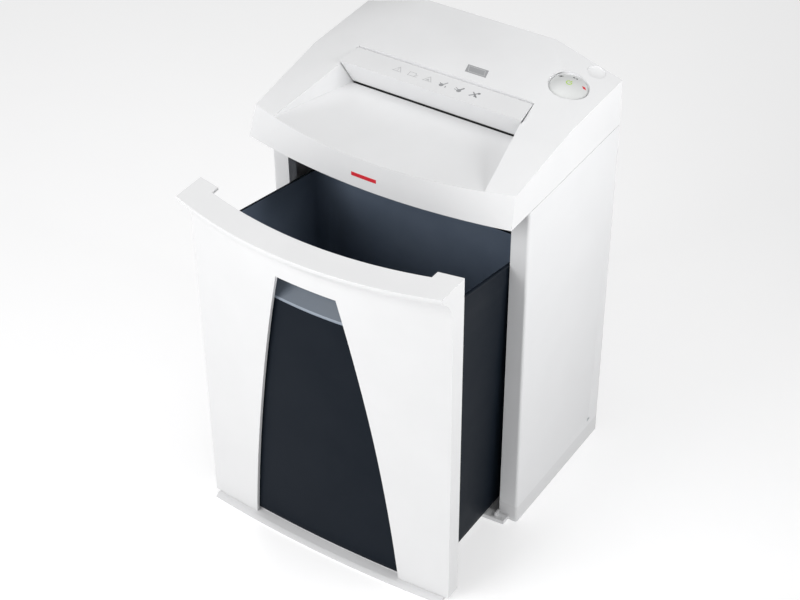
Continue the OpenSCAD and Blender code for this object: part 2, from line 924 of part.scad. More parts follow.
// ---- gear train ----------------------------------------------------------
pressure = 25;
backlash = 0.16;
sync_teeth = 24;
sync_mod = cutter_gap / sync_teeth;
drive_teeth = 54;
drive_mod = 1.5;
second_pinion = 18;
second_teeth = 45;
second_mod = 1.25;
first_pinion = 15;
first_teeth = 45;
first_mod = 1;
motor_teeth = 15;
pin_shaft_r = 4;
hub_x0 = 131.3;
hub_x1 = 166.7;
hub_r = 6.4;
second_angle = 50;
drive_reach = drive_mod * (drive_teeth + second_pinion) / 2;
second_reach = second_mod * (second_teeth + first_pinion) / 2;
first_reach = first_mod * (first_teeth + motor_teeth) / 2;
second_spot = rear_shaft + drive_reach * [cos(second_angle), sin(second_angle)];
motor_gap = norm(second_spot - motor_spot);
along = (pow(first_reach, 2) - pow(second_reach, 2) + pow(motor_gap, 2)) / (2 * motor_gap);
across = sqrt(pow(first_reach, 2) - pow(along, 2));
motor_dir = (second_spot - motor_spot) / motor_gap;
first_spot = motor_spot + along * motor_dir + across * [motor_dir[1], -motor_dir[0]];
motor_corners = [for (a = [-1, 1], b = [-1, 1]) motor_spot + bolt_reach * [a, b]];
post_spots = [[-50, 535], [80, 478], [3, 559], [54, 461]];

function bearing(a, b) = atan2(b[1] - a[1], b[0] - a[0]);
function inv(a) = tan(a) - a * PI / 180;
function roll(rb, r) = r <= rb ? 0 : inv(acos(rb / r));

// Outline of an involute gear with a tooth centred on the angle phase
function gear_points(m, n, phase) = let (
    rp = m * n / 2,
    rb = rp * cos(pressure),
    ra = rp + 0.92 * m,
    rr = rp - 1.2 * m,
    half = (PI * m / 2 - backlash) / m / n * 180 / PI,
    base = half + inv(pressure) * 180 / PI,
    radii = [rr, max(rb, rr + 0.1), (max(rb, rr) + rp) / 2, rp, (rp + ra) / 2, ra])
    [for (i = [0:n - 1]) let (c = phase + 360 * i / n) each concat(
        [for (r = radii) let (a = c - base + roll(rb, r) * 180 / PI) r * [cos(a), sin(a)]],
        [for (r = flip(radii)) let (a = c + base - roll(rb, r) * 180 / PI) r * [cos(a), sin(a)]])];

// Gear wheel along +X from a point in the Y-Z plane
module gear(spot, x, w, m, n, phase) {
    translate([x, spot[0], spot[1]])
        rotate([90, 0, 90])
            linear_extrude(height = w)
                polygon(gear_points(m, n, phase));
}

// Phases: a tooth of one wheel faces a gap of the other along their centre line
sync_line = bearing(rear_shaft, front_shaft);
drive_line = bearing(rear_shaft, second_spot);
second_line = bearing(second_spot, first_spot);
first_line = bearing(first_spot, motor_spot);

module sync_gear_rear() {
    color("slategray")
    difference() {
        gear(rear_shaft, 132, 7, sync_mod, sync_teeth, sync_line);
        rod_x([120, rear_shaft[0], rear_shaft[1]], journal_r, 40);
    }
}

module sync_gear_front() {
    color("slategray")
    difference() {
        gear(front_shaft, 132, 7, sync_mod, sync_teeth, sync_line + 180 + 180 / sync_teeth);
        rod_x([120, front_shaft[0], front_shaft[1]], journal_r, 40);
    }
}

module drive_gear() {
    color("slategray")
    difference() {
        gear(rear_shaft, 140.5, 9, drive_mod, drive_teeth, drive_line);
        rod_x([120, rear_shaft[0], rear_shaft[1]], journal_r, 40);
        for (a = [0:60:300])
            rod_x([130, rear_shaft[0] + 24 * cos(a), rear_shaft[1] + 24 * sin(a)], 7, 30);
    }
}

module second_gear() {
    color("ivory")
    difference() {
        union() {
            gear(second_spot, 140.5, 10.5 + eps, drive_mod, second_pinion,
                 drive_line + 180 + 180 / second_pinion);
            gear(second_spot, 151, 6, second_mod, second_teeth, second_line);
            rod_x([hub_x0, second_spot[0], second_spot[1]], hub_r, hub_x1 - hub_x0);
        }
        rod_x([120, second_spot[0], second_spot[1]], pin_shaft_r + 0.06, 60);
    }
}

module first_gear() {
    color("ivory")
    difference() {
        union() {
            gear(first_spot, 151, 7.5 + eps, second_mod, first_pinion,
                 second_line + 180 + 180 / first_pinion);
            gear(first_spot, 158.5, 5, first_mod, first_teeth, first_line);
            rod_x([hub_x0, first_spot[0], first_spot[1]], hub_r, hub_x1 - hub_x0);
        }
        rod_x([120, first_spot[0], first_spot[1]], pin_shaft_r + 0.06, 60);
    }
}

module motor_pinion() {
    color("slategray")
    difference() {
        gear(motor_spot, 157.5, 7, first_mod, motor_teeth, first_line + 180 + 180 / motor_teeth);
        rod_x([120, motor_spot[0], motor_spot[1]], pin_shaft_r, 60);
    }
}

module gear_pins() {
    color("silver")
    for (p = [first_spot, second_spot])
        rod_x([plate_x, p[0], p[1]], pin_shaft_r, 41);
}

module gear_cover_plate() {
    color("lightsteelblue")
    difference() {
        translate([167, 0, 0])
            rotate([90, 0, 90])
                linear_extrude(height = 2)
                    polygon([[-58, 530], [-54, 543], [-6, 568], [30, 560], [84, 532], [90, 474],
                             [60, 454], [46, 454], [26, 470], [10, 500]]);
        for (p = [first_spot, second_spot])
            rod_x([120, p[0], p[1]], pin_shaft_r, 60);
        for (p = post_spots)
            rod_x([120, p[0], p[1]], 1.5, 60);
        rod_x([120, motor_spot[0], motor_spot[1]], 6, 60);
    }
}

// Spacer posts with threaded ends and nuts
module gear_cover_posts() {
    color("silver")
    for (p = post_spots) {
        rod_x([131, p[0], p[1]], 3.5, 36);
        rod_x([128, p[0], p[1]], 1.5, 44);
        translate([169, p[0], p[1]])
            rotate([0, 90, 0])
                cylinder(r = 3.4, h = 2.4, $fn = 6);
    }
}

// ---- motor ---------------------------------------------------------------
core_x0 = 52;
core_x1 = 106;
shaft_r = 4;

module motor_block(x0, x1, half, bore) {
    difference() {
        box([x0, motor_spot[0] - half, motor_spot[1] - half], [x1, motor_spot[0] + half, motor_spot[1] + half]);
        rod_x([x0 - 1, motor_spot[0], motor_spot[1]], bore, x1 - x0 + 2);
        for (p = motor_corners)
            rod_x([x0 - 1, p[0], p[1]], 2, x1 - x0 + 2);
    }
}

module motor_ring(x0, x1, r_out, r_in) {
    difference() {
        rod_x([x0, motor_spot[0], motor_spot[1]], r_out, x1 - x0);
        rod_x([x0 - 1, motor_spot[0], motor_spot[1]], r_in, x1 - x0 + 2);
    }
}

module motor_stator() {
    color("gray")
    motor_block(core_x0, core_x1, motor_half, 27);
}

module motor_windings() {
    color("sienna")
    union() {
        motor_ring(core_x0 - 11, core_x0, 31, 21);
        motor_ring(core_x1, core_x1 + 11, 31, 21);
    }
}

module motor_rotor() {
    color("darkgray")
    union() {
        rod_x([core_x0 + 0.5, motor_spot[0], motor_spot[1]], 26.4, core_x1 - core_x0 - 1);
        rod_x([13, motor_spot[0], motor_spot[1]], shaft_r, 151.8);
    }
}

module motor_shield_drive() {
    color("silver")
    difference() {
        motor_block(core_x1, plate_x, motor_half - 1, 11);
        rod_x([core_x1 - 1, motor_spot[0], motor_spot[1]], 31.5, 15);
    }
}

module motor_shield_fan() {
    color("silver")
    difference() {
        motor_block(core_x0 - 22, core_x0, motor_half - 1, 11);
        rod_x([core_x0 - 14, motor_spot[0], motor_spot[1]], 31.5, 20);
    }
}

module motor_bearings() {
    color("lightgray")
    union() {
        motor_ring(core_x0 - 22, core_x0 - 15, 11, shaft_r + 0.04);
        motor_ring(plate_x - 7, plate_x, 11, shaft_r + 0.04);
    }
}

module motor_fan() {
    color("black")
    difference() {
        union() {
            rod_x([14, motor_spot[0], motor_spot[1]], 9, 12);
            rod_x([24, motor_spot[0], motor_spot[1]], 30, 2);
            for (a = [0:45:315])
                translate([15, motor_spot[0], motor_spot[1]])
                    rotate([a, 0, 0])
                        translate([0, 6, -1])
                            cube([10, 24, 2]);
        }
        rod_x([10, motor_spot[0], motor_spot[1]], shaft_r, 20);
    }
}

module motor_bolts() {
    color("silver")
    for (p = motor_corners) {
        rod_x([core_x0 - 22, p[0], p[1]], 2, plate_x + plate_t + 4 - core_x0 + 22);
        for (x = [core_x0 - 25, plate_x + plate_t])
            translate([x, p[0], p[1]])
                rotate([0, 90, 0])
                    cylinder(r = 3.8, h = 3, $fn = 6);
    }
}

// ---- electrics -----------------------------------------------------------
cap_line = [-160, 540];
can_r = 17;

module run_capacitor() {
    color("lightgray")
    union() {
        rod_y([cap_line[0], -60, cap_line[1]], can_r, 70);
        for (s = [-1, 1])
            box([cap_line[0] + s * 6 - 2.5, -68, cap_line[1] - 0.5], [cap_line[0] + s * 6 + 2.5, -60, cap_line[1] + 0.5]);
    }
}

module capacitor_clamp() {
    color("silver")
    difference() {
        union() {
            rod_y([cap_line[0], -31, cap_line[1]], can_r + 1.2, 12);
            box([cap_line[0] - 12, -31, deck_top], [cap_line[0] + 12, -19, cap_line[1] - 10]);
        }
        rod_y([cap_line[0], -40, cap_line[1]], can_r, 30);
        box([cap_line[0] - 10.5, -40, deck_top + 1.5], [cap_line[0] + 10.5, -10, cap_line[1] - 10]);
    }
}

board_x = [-118, -12];
board_y = [36, 98];
board_z = deck_top + 6;
board_corners = [for (x = [board_x[0] + 5, board_x[1] - 5], y = [board_y[0] + 5, board_y[1] - 5]) [x, y]];

module main_board() {
    color("darkgreen")
    difference() {
        union() {
            box([board_x[0], board_y[0], board_z], [board_x[1], board_y[1], board_z + 1.6]);
            box([-108, 46, board_z + 1.5], [-78, 86, board_z + 24]);
            box([-70, 46, board_z + 1.5], [-50, 62, board_z + 17]);
            box([-70, 68, board_z + 1.5], [-50, 84, board_z + 17]);
            for (x = [-42, -30])
                translate([x, 76, board_z + 1.5])
                    cylinder(r = 5, h = 14);
            box([-44, 42, board_z + 1.5], [-22, 50, board_z + 12]);
        }
        for (p = board_corners)
            translate([p[0], p[1], 500])
                cylinder(r = 1.6, h = 60);
    }
}

module board_posts() {
    color("silver")
    for (p = board_corners)
        translate([p[0], p[1], 0]) {
            translate([0, 0, deck_top])
                cylinder(r = 3, h = board_z - deck_top);
            translate([0, 0, board_z - 1])
                cylinder(r = 1.6, h = 4.2);
            translate([0, 0, board_z + 1.6])
                cylinder(r = 2.8, h = 1.6);
        }
}

switch_spot = [176, 511.4];
plunger_r = 1.6;

module interlock_switch() {
    color("black")
    difference() {
        box([170, front_y + 3.1, 501], [180, front_y + 17, 513.4]);
        rod_y([switch_spot[0], front_y, switch_spot[1]], plunger_r + 0.08, 12.5);
    }
}

module interlock_plunger() {
    color("red")
    rod_y([switch_spot[0], front_y - 2.3, switch_spot[1]], plunger_r, 12);
}

module flap_switch() {
    color("black")
    union() {
        box([plate_x + plate_t, 9, 549], [plate_x + plate_t + 6, 21, 565]);
        box([plate_x + plate_t, -6, 563.6], [plate_x + plate_t + 1, 10, 564.4]);
    }
}

base_tray();
rubber_feet();
cabinet_left();
cabinet_right();
rear_panel();
front_cross_rail();
cabinet_screws();
rear_panel_screws();
cable_gland();
hood();
hood_screws();
safety_flap();
flap_pins();
feed_throat();
feed_sensor();
button_bezel();
control_button();
control_board();
blanking_cap();
front_panel();
waste_bin();
drawer_carrier();
panel_screws();
deck_plate();
deck_screws();
side_plate_left();
side_plate_right();
tie_rods();
shaft_bushes();
cutter_front();
cutter_rear();
stripper_comb_front();
stripper_comb_rear();
sync_gear_front();
sync_gear_rear();
drive_gear();
second_gear();
first_gear();
gear_pins();
gear_cover_plate();
gear_cover_posts();
motor_stator();
motor_windings();
motor_rotor();
motor_pinion();
motor_fan();
motor_shield_drive();
motor_shield_fan();
motor_bearings();
motor_bolts();
run_capacitor();
capacitor_clamp();
main_board();
board_posts();
interlock_switch();
interlock_plunger();
flap_switch();
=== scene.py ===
import json
import math

import bmesh
import bpy
from mathutils import Matrix, Vector


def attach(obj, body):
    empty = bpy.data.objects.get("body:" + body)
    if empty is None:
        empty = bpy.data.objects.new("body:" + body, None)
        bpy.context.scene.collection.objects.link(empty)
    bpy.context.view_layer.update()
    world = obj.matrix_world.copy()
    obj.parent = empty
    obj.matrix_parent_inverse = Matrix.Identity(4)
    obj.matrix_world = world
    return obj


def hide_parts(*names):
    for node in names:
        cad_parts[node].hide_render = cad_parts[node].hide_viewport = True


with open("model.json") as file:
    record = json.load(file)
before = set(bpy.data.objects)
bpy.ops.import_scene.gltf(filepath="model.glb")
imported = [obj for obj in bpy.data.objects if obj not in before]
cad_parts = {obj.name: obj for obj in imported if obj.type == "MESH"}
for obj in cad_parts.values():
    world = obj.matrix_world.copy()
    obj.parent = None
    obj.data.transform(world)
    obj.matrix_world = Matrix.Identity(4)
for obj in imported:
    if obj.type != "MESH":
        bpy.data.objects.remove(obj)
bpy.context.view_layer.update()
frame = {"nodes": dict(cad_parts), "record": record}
NODES = frame["nodes"]
BODY_OF = {n: b for b, ns in frame["record"]["behaviour"]["bodies"].items() for n in ns}
SLOT_OF = {s["node"]: s["material_slot"] for s in frame["record"]["subparts"]}
MM = 0.001


# ---- materials ------------------------------------------------------------
CLOUD_SCALE, CLOUD_RAMP = 14, (0.32, 0.68)
SPECK_RAMP = (0.62, 0.72)
BUMP_DISTANCE = 0.0004
COAT_ROUGHNESS = 0.25


def surface(name, color, rough, grain=(900, 0.06), metallic=0.0, cloud=0.012, spread=0.06,
            coat=0.0, spec=0.5, streak=None, specks=0.0):
    """Procedural surface: soft colour clouding, uneven roughness and a fine grain.

    grain is the scale and strength of the fine bump; cloud is how far the colour
    drifts and spread how far the roughness does; streak stretches both along an
    axis; specks adds pale flecks of that brightness.
    """
    m = bpy.data.materials.new(name)
    m.use_nodes = True
    nt = m.node_tree
    p = nt.nodes["Principled BSDF"]
    p.inputs["Metallic"].default_value = metallic
    p.inputs["Specular IOR Level"].default_value = spec
    p.inputs["Coat Weight"].default_value = coat
    p.inputs["Coat Roughness"].default_value = COAT_ROUGHNESS
    co = nt.nodes.new("ShaderNodeTexCoord")
    source = co.outputs["Object"]
    if streak:
        mp = nt.nodes.new("ShaderNodeMapping")
        mp.inputs["Scale"].default_value = streak
        nt.links.new(source, mp.inputs["Vector"])
        source = mp.outputs["Vector"]
    soft = nt.nodes.new("ShaderNodeTexNoise")
    soft.inputs["Scale"].default_value = CLOUD_SCALE
    soft.inputs["Detail"].default_value = 4
    nt.links.new(source, soft.inputs["Vector"])
    ramp = nt.nodes.new("ShaderNodeValToRGB")
    for e, s in zip(ramp.color_ramp.elements, (-1, 1)):
        e.color = [min(1, max(0, c * (1 + s * cloud) + s * cloud * 0.1)) for c in color] + [1]
    ramp.color_ramp.elements[0].position = CLOUD_RAMP[0]
    ramp.color_ramp.elements[1].position = CLOUD_RAMP[1]
    nt.links.new(soft.outputs["Fac"], ramp.inputs["Fac"])
    tint = ramp.outputs["Color"]
    fine = nt.nodes.new("ShaderNodeTexNoise")
    fine.inputs["Scale"].default_value = grain[0]
    fine.inputs["Detail"].default_value = 3
    nt.links.new(source, fine.inputs["Vector"])
    if specks:
        pick = nt.nodes.new("ShaderNodeValToRGB")
        pick.color_ramp.elements[0].position = SPECK_RAMP[0]
        pick.color_ramp.elements[0].color = (0, 0, 0, 1)
        pick.color_ramp.elements[1].position = SPECK_RAMP[1]
        pick.color_ramp.elements[1].color = (specks, specks, specks, 1)
        nt.links.new(fine.outputs["Fac"], pick.inputs["Fac"])
        mix = nt.nodes.new("ShaderNodeMix")
        mix.data_type = "RGBA"
        mix.blend_type = "ADD"
        mix.inputs["Factor"].default_value = 1
        nt.links.new(tint, mix.inputs["A"])
        nt.links.new(pick.outputs["Color"], mix.inputs["B"])
        tint = mix.outputs["Result"]
    nt.links.new(tint, p.inputs["Base Color"])
    rr = nt.nodes.new("ShaderNodeMapRange")
    rr.inputs["From Min"].default_value = 0.3
    rr.inputs["From Max"].default_value = 0.7
    rr.inputs["To Min"].default_value = max(0.03, rough - spread)
    rr.inputs["To Max"].default_value = min(1, rough + spread)
    nt.links.new(soft.outputs["Fac"], rr.inputs["Value"])
    nt.links.new(rr.outputs["Result"], p.inputs["Roughness"])
    bump = nt.nodes.new("ShaderNodeBump")
    bump.inputs["Strength"].default_value = grain[1]
    bump.inputs["Distance"].default_value = BUMP_DISTANCE
    nt.links.new(fine.outputs["Fac"], bump.inputs["Height"])
    nt.links.new(bump.outputs["Normal"], p.inputs["Normal"])
    return m


MAT = {
    "hood_white": surface("hood_white", (0.76, 0.763, 0.77), 0.42, (1100, 0.10)),
    "panel_white": surface("panel_white", (0.78, 0.782, 0.787), 0.36, (1300, 0.07)),
    "cabinet_white": surface("cabinet_white", (0.76, 0.764, 0.773), 0.48, (1000, 0.12)),
    "sill_grey": surface("sill_grey", (0.70, 0.702, 0.71), 0.5, (900, 0.12)),
    "bin_dark": surface("bin_dark", (0.009, 0.0128, 0.0192), 0.42, (800, 0.10), cloud=0.015,
                        spec=0.035),
    "dark_plastic": surface("dark_plastic", (0.018, 0.018, 0.020), 0.5, (900, 0.15), cloud=0.08),
    "dark_paint": surface("dark_paint", (0.03, 0.03, 0.033), 0.55, (700, 0.12), cloud=0.08),
    "button_silver": surface("button_silver", (0.65, 0.66, 0.655), 0.42, (1500, 0.05),
                             metallic=0.1),
    "rubber_dark": surface("rubber_dark", (0.02, 0.02, 0.02), 0.8, (700, 0.3), cloud=0.1,
                           spec=0.3),
    "zinc_steel": surface("zinc_steel", (0.56, 0.58, 0.60), 0.34, (500, 0.08), metallic=1,
                          cloud=0.08, spread=0.12),
    "cutter_steel": surface("cutter_steel", (0.33, 0.34, 0.36), 0.3, (300, 0.12), metallic=1,
                            cloud=0.12, spread=0.1, streak=(0.2, 3, 3)),
    "gear_steel": surface("gear_steel", (0.26, 0.27, 0.285), 0.45, (800, 0.2), metallic=1,
                          cloud=0.1),
    "gear_plastic": surface("gear_plastic", (0.74, 0.68, 0.54), 0.4, (700, 0.08), cloud=0.03),
    "comb_grey": surface("comb_grey", (0.055, 0.058, 0.065), 0.55, (800, 0.2), cloud=0.08),
    "bush_bronze": surface("bush_bronze", (0.45, 0.29, 0.12), 0.42, (900, 0.15), metallic=1,
                           cloud=0.1),
    "copper_wire": surface("copper_wire", (0.50, 0.18, 0.07), 0.35, (180, 0.6), metallic=0.8,
                           cloud=0.15, streak=(8, 1, 1)),
    "lamination_steel": surface("lamination_steel", (0.19, 0.19, 0.20), 0.45, (220, 0.6),
                                metallic=0.9, cloud=0.1, streak=(14, 0.3, 0.3)),
    "cast_alloy": surface("cast_alloy", (0.5, 0.51, 0.52), 0.5, (500, 0.3), metallic=0.9,
                          cloud=0.05),
    "capacitor_can": surface("capacitor_can", (0.62, 0.63, 0.64), 0.4, (800, 0.05), cloud=0.02),
    "circuit_green": surface("circuit_green", (0.012, 0.10, 0.035), 0.35, (60, 0.1), cloud=0.3,
                             coat=0.3, specks=0.05),
    "plunger_red": surface("plunger_red", (0.42, 0.02, 0.015), 0.35, (900, 0.06), cloud=0.05),
}
# Colours used only in the render and in no CAD slot: three lighter copies of the bin's dark plastic
# that paint light onto it, then the print
# Painted light: the bin's inside is a lighter, bluer copy of its dark plastic, standing in for the
# light that reaches in
BIN_INSIDE_PAINTED_LIGHT = surface("bin_inside_painted_light", (0.155, 0.195, 0.26), 0.5, (700, 0.12), cloud=0.06, spec=0.25)
# Painted sheen: the sloping ledge under the bin's rim is a lighter copy of its plastic, standing in
# for the top light on it
BIN_LEDGE_PAINTED_SHEEN = surface("bin_ledge", (0.115, 0.138, 0.17), 0.42, (800, 0.10), cloud=0.05, spec=0.25)
# Painted highlight: a pale line of the bin's plastic along the rounded front edge of the ledge
BIN_EDGE_PAINTED_HIGHLIGHT = surface("bin_edge_painted_highlight", (0.27, 0.31, 0.37), 0.4, (800, 0.10), cloud=0.05, spec=0.4)
PRINT_DARK = surface("print_dark", (0.055, 0.058, 0.06), 0.5, (600, 0.1), cloud=0.06)
PRINT_GREY = surface("print_grey", (0.31, 0.315, 0.325), 0.5, (600, 0.1), cloud=0.04)
PRINT_PALE = surface("print_pale", (0.50, 0.505, 0.51), 0.5, (600, 0.1), cloud=0.04)
PRINT_GREEN = surface("print_green", (0.42, 0.66, 0.05), 0.4, (600, 0.1), cloud=0.05)
PRINT_RED = surface("print_red", (0.62, 0.015, 0.03), 0.4, (600, 0.1), cloud=0.05)


# ---- mesh helpers ---------------------------------------------------------
WELD, SLIVER = 0.004, 0.01          # closest vertices and shortest edge kept by carve
HULL_FLAT, CAD_WELD, CAD_FLAT = 0.3, 0.002, 0.6


def new_object(name, bm, slot=None, mat=None, body="chassis", smooth=30, replaces=()):
    """Turns a bmesh into a finished piece that rides on a body."""
    bmesh.ops.recalc_face_normals(bm, faces=bm.faces)
    me = bpy.data.meshes.new(name)
    bm.to_mesh(me)
    bm.free()
    o = bpy.data.objects.new(name, me)
    bpy.context.collection.objects.link(o)
    me.materials.append(mat or MAT[slot])
    me.shade_smooth()
    me.set_sharp_from_angle(angle=math.radians(smooth))
    if replaces:
        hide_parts(*replaces)
    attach(o, body)
    return o


def soften(o, width, segments=2, angle=30):
    """Rounds the piece's sharp edges and evens out the shading beside them."""
    b = o.modifiers.new("round", "BEVEL")
    b.width = width * MM
    b.segments = segments
    b.limit_method = "ANGLE"
    b.angle_limit = math.radians(angle)
    b.use_clamp_overlap = True
    b.harden_normals = True
    b.miter_outer = "MITER_ARC"


def baked(o):
    """The piece's mesh with its modifiers applied, as a bmesh."""
    bpy.context.view_layer.update()
    ev = o.evaluated_get(bpy.context.evaluated_depsgraph_get())
    me = ev.to_mesh()
    bm = bmesh.new()
    bm.from_mesh(me)
    ev.to_mesh_clear()
    return bm


def solid(bm):
    """A plain object for the booleans; carve removes it again."""
    bmesh.ops.recalc_face_normals(bm, faces=bm.faces)
    me = bpy.data.meshes.new("tool")
    bm.to_mesh(me)
    bm.free()
    o = bpy.data.objects.new("tool", me)
    bpy.context.collection.objects.link(o)
    return o


def carve(base, tools, op="DIFFERENCE"):
    """Applies exact booleans and returns the result as a bmesh; removes the inputs."""
    for i, t in enumerate(tools):
        m = base.modifiers.new(f"cut{i}", "BOOLEAN")
        m.operation = op
        m.solver = "EXACT"
        m.object = t
    bm = baked(base)
    for o in [base] + list(tools):
        me = o.data
        bpy.data.objects.remove(o)
        bpy.data.meshes.remove(me)
    bmesh.ops.remove_doubles(bm, verts=bm.verts, dist=WELD * MM)
    bmesh.ops.dissolve_degenerate(bm, edges=bm.edges, dist=SLIVER * MM)
    return bm


def flatten(bm, degrees):
    """Merges faces that meet at less than an angle."""
    bmesh.ops.dissolve_limit(bm, angle_limit=math.radians(degrees), verts=bm.verts, edges=bm.edges)


def hull(points):
    """Convex hull of points in millimetres, with its flat faces merged."""
    bm = bmesh.new()
    for p in points:
        bm.verts.new(Vector(p) * MM)
    r = bmesh.ops.convex_hull(bm, input=bm.verts)
    loose = {g for g in r["geom_interior"] + r["geom_unused"]
             if isinstance(g, bmesh.types.BMVert) and g.is_valid}
    bmesh.ops.delete(bm, geom=list(loose), context="VERTS")
    flatten(bm, HULL_FLAT)
    return bm


def block(a, b):
    """Box between two opposite corners."""
    bm = bmesh.new()
    bmesh.ops.create_cube(bm, size=1)
    for v in bm.verts:
        v.co = Vector([(a[i] + b[i]) / 2 + v.co[i] * (b[i] - a[i]) for i in range(3)]) * MM
    return bm


def prism(points, z0, z1):
    """Closed prism over an outline in the X-Y plane."""
    bm = bmesh.new()
    low = [bm.verts.new(Vector((x, y, z0)) * MM) for x, y in points]
    top = [bm.verts.new(Vector((x, y, z1)) * MM) for x, y in points]
    n = len(points)
    bm.faces.new(low[::-1])
    bm.faces.new(top)
    for i in range(n):
        bm.faces.new((low[i], low[(i + 1) % n], top[(i + 1) % n], top[i]))
    return bm


def rings(rows):
    """Closed skin through rows of points; each row is a closed outline."""
    bm = bmesh.new()
    vs = [[bm.verts.new(Vector(p) * MM) for p in row] for row in rows]
    n = len(rows[0])
    for a, b in zip(vs, vs[1:]):
        for i in range(n):
            j = (i + 1) % n
            bm.faces.new((a[i], a[j], b[j], b[i]))
    bm.faces.new(vs[0][::-1])
    bm.faces.new(vs[-1])
    return bm


def lathe(profile, steps, matrix):
    """Body of revolution about Z from (radius, height) points; radius 0 closes it."""
    bm = bmesh.new()
    rows = []
    for r, z in profile:
        if r <= 0:
            rows.append([bm.verts.new(Vector((0, 0, z)) * MM)])
        else:
            turns = [2 * math.pi * k / steps for k in range(steps)]
            rows.append([bm.verts.new(Vector((r * math.cos(a), r * math.sin(a), z)) * MM)
                         for a in turns])
    for a, b in zip(rows, rows[1:]):
        for k in range(steps):
            j = (k + 1) % steps
            if len(a) == 1 and len(b) > 1:
                bm.faces.new((a[0], b[j], b[k]))
            elif len(b) == 1 and len(a) > 1:
                bm.faces.new((a[k], a[j], b[0]))
            elif len(a) > 1:
                bm.faces.new((a[k], a[j], b[j], b[k]))
    return moved(bm, matrix)


def merge(*parts):
    """Several closed shapes in one bmesh; frees the inputs."""
    out = bmesh.new()
    for bm in parts:
        me = bpy.data.meshes.new("part")
        bm.to_mesh(me)
        bm.free()
        out.from_mesh(me)
        bpy.data.meshes.remove(me)
    return out


def refined(node, width):
    """A copy of a CAD node with merged faces and rounded edges."""
    bm = bmesh.new()
    bm.from_mesh(NODES[node].data)
    bmesh.ops.remove_doubles(bm, verts=bm.verts, dist=CAD_WELD * MM)
    flatten(bm, CAD_FLAT)
    o = new_object(node + "_skin", bm, SLOT_OF[node], body=BODY_OF[node], replaces=(node,))
    soften(o, width)


def place(millimetres, *turns):
    """A position in millimetres, then turns given as (degrees, axis)."""
    m = Matrix.Translation(Vector(millimetres) * MM)
    for degrees, axis in turns:
        m = m @ Matrix.Rotation(math.radians(degrees), 4, axis)
    return m


def moved(bm, matrix):
    bmesh.ops.transform(bm, matrix=matrix, verts=bm.verts)
    return bm


def mirror_x(points):
    return list(points) + [(-p[0], *p[1:]) for p in points]


# ---- shared outlines, in millimetres --------------------------------------
def bow(half, y_end, sag, n=64):
    """Front edge that bulges forwards by sag between two ends at y_end."""
    xs = [-half + 2 * half * i / n for i in range(n + 1)]
    return [(x, y_end - sag * (1 - (x / half) ** 2)) for x in xs]


def arc(cx, cy, r, a0, a1, n=10):
    return [(cx + r * math.cos(math.radians(a0 + (a1 - a0) * i / n)),
             cy + r * math.sin(math.radians(a0 + (a1 - a0) * i / n))) for i in range(n + 1)]


def bowed_plan(half, y_end, sag, y_back, r):
    """Plan with a bowed front and two rounded corners at the back."""
    return (bow(half, y_end, sag) + arc(half - r, y_back - r, r, 0, 90)
            + arc(-half + r, y_back - r, r, 90, 180))


def lift(points, z):
    return [(x, y, z) for x, y in points]


def spline(rows, steps):
    """Smooth curve through rows of numbers whose first entry rises.

    steps says how many rows to make of each stretch.
    """
    out = []
    for i in range(len(rows) - 1):
        p0, p1 = rows[max(i - 1, 0)], rows[i]
        p2, p3 = rows[i + 1], rows[min(i + 2, len(rows) - 1)]
        for k in range(steps[i]):
            t = k / steps[i]
            row = []
            for c in range(len(p1)):
                m1 = (p2[c] - p0[c]) / (p2[0] - p0[0]) * (p2[0] - p1[0])
                m2 = (p3[c] - p1[c]) / (p3[0] - p1[0]) * (p2[0] - p1[0])
                h = (2 * t**3 - 3 * t * t + 1, t**3 - 2 * t * t + t,
                     -2 * t**3 + 3 * t * t, t**3 - t * t)
                row.append(h[0] * p1[c] + h[1] * m1 + h[2] * p2[c] + h[3] * m2)
            out.append(row)
    out.append(list(rows[-1]))
    return out


# ---- hood -----------------------------------------------------------------
HOOD_FOOT = (190, -156.7, 22)       # half width, y of the ends and bulge of the front edge
HOOD_BROW = (187, -143.1, 32.5)     # the same at the fascia's upper edge
HOOD_WALL = 3
HOOD_BACK = 112
TRAY_HALF = 152
ABOVE = 650                         # anything higher than the hood


def hood_body(g):
    """The hood's outer form, or its inner one when shrunk by g."""
    low = 517.2 if g == 0 else 515.5
    top = g * 1.12
    pts = lift(bow(HOOD_FOOT[0] - g, HOOD_FOOT[1] + g, HOOD_FOOT[2]), low)
    pts += lift(bow(HOOD_BROW[0] - g, HOOD_BROW[1] + g, HOOD_BROW[2]), 557.5 - top)
    pts += mirror_x([(190 - g, HOOD_BACK - g, low), (189 - g, -11, 578.9 - top),
                     (189 - g, HOOD_BACK - g, 581 - top), (94 - g / 2, HOOD_BACK - g, 609.5 - top),
                     (124 - g / 2, 0, 587.5 - top)])
    return hull(pts)


def tray_space(g):
    """The air over the paper tray, grown by g."""
    edge = [p for p in bow(*HOOD_BROW) if abs(p[0]) < TRAY_HALF]
    tip_y = HOOD_BROW[1] - HOOD_BROW[2] * (1 - (TRAY_HALF / HOOD_BROW[0]) ** 2)
    low = [(x, y - 3 + g, 557.3 - g) for x, y in edge]
    low += mirror_x([(TRAY_HALF + 1.2 * g, tip_y - 3 + g, 557.3 - g),
                     (121 + 1.2 * g, -24 + 1.2 * g, 550 - g), (132 + 1.2 * g, -38.3, 585.2)])
    return hull(low + [(x, y, ABOVE) for x, y, z in low])


def flap_space(g):
    """The air the flap lies in, grown by g."""
    low = mirror_x([(127.5 + g, g, 579.6 - g), (132 + g, -38.5, 581.8), (121 + g, -26, 549.5)])
    return hull(low + [(x, y, ABOVE) for x, y, z in low])


def bore(radius, z0, z1, steps, matrix):
    return lathe([(0, z0), (radius, z0), (radius, z1), (0, z1)], steps, matrix)


BUTTON = place((146.3, 51.4, 588), (11.9, "Y"), (4.8, "X"))
CAP = place((159, 99, 589.2), (15.6, "Y"), (4, "X"))
BUTTON_STEPS, CAP_STEPS = 96, 72
SLOT_HALF, SLOT_FRONT = 121, -27.3

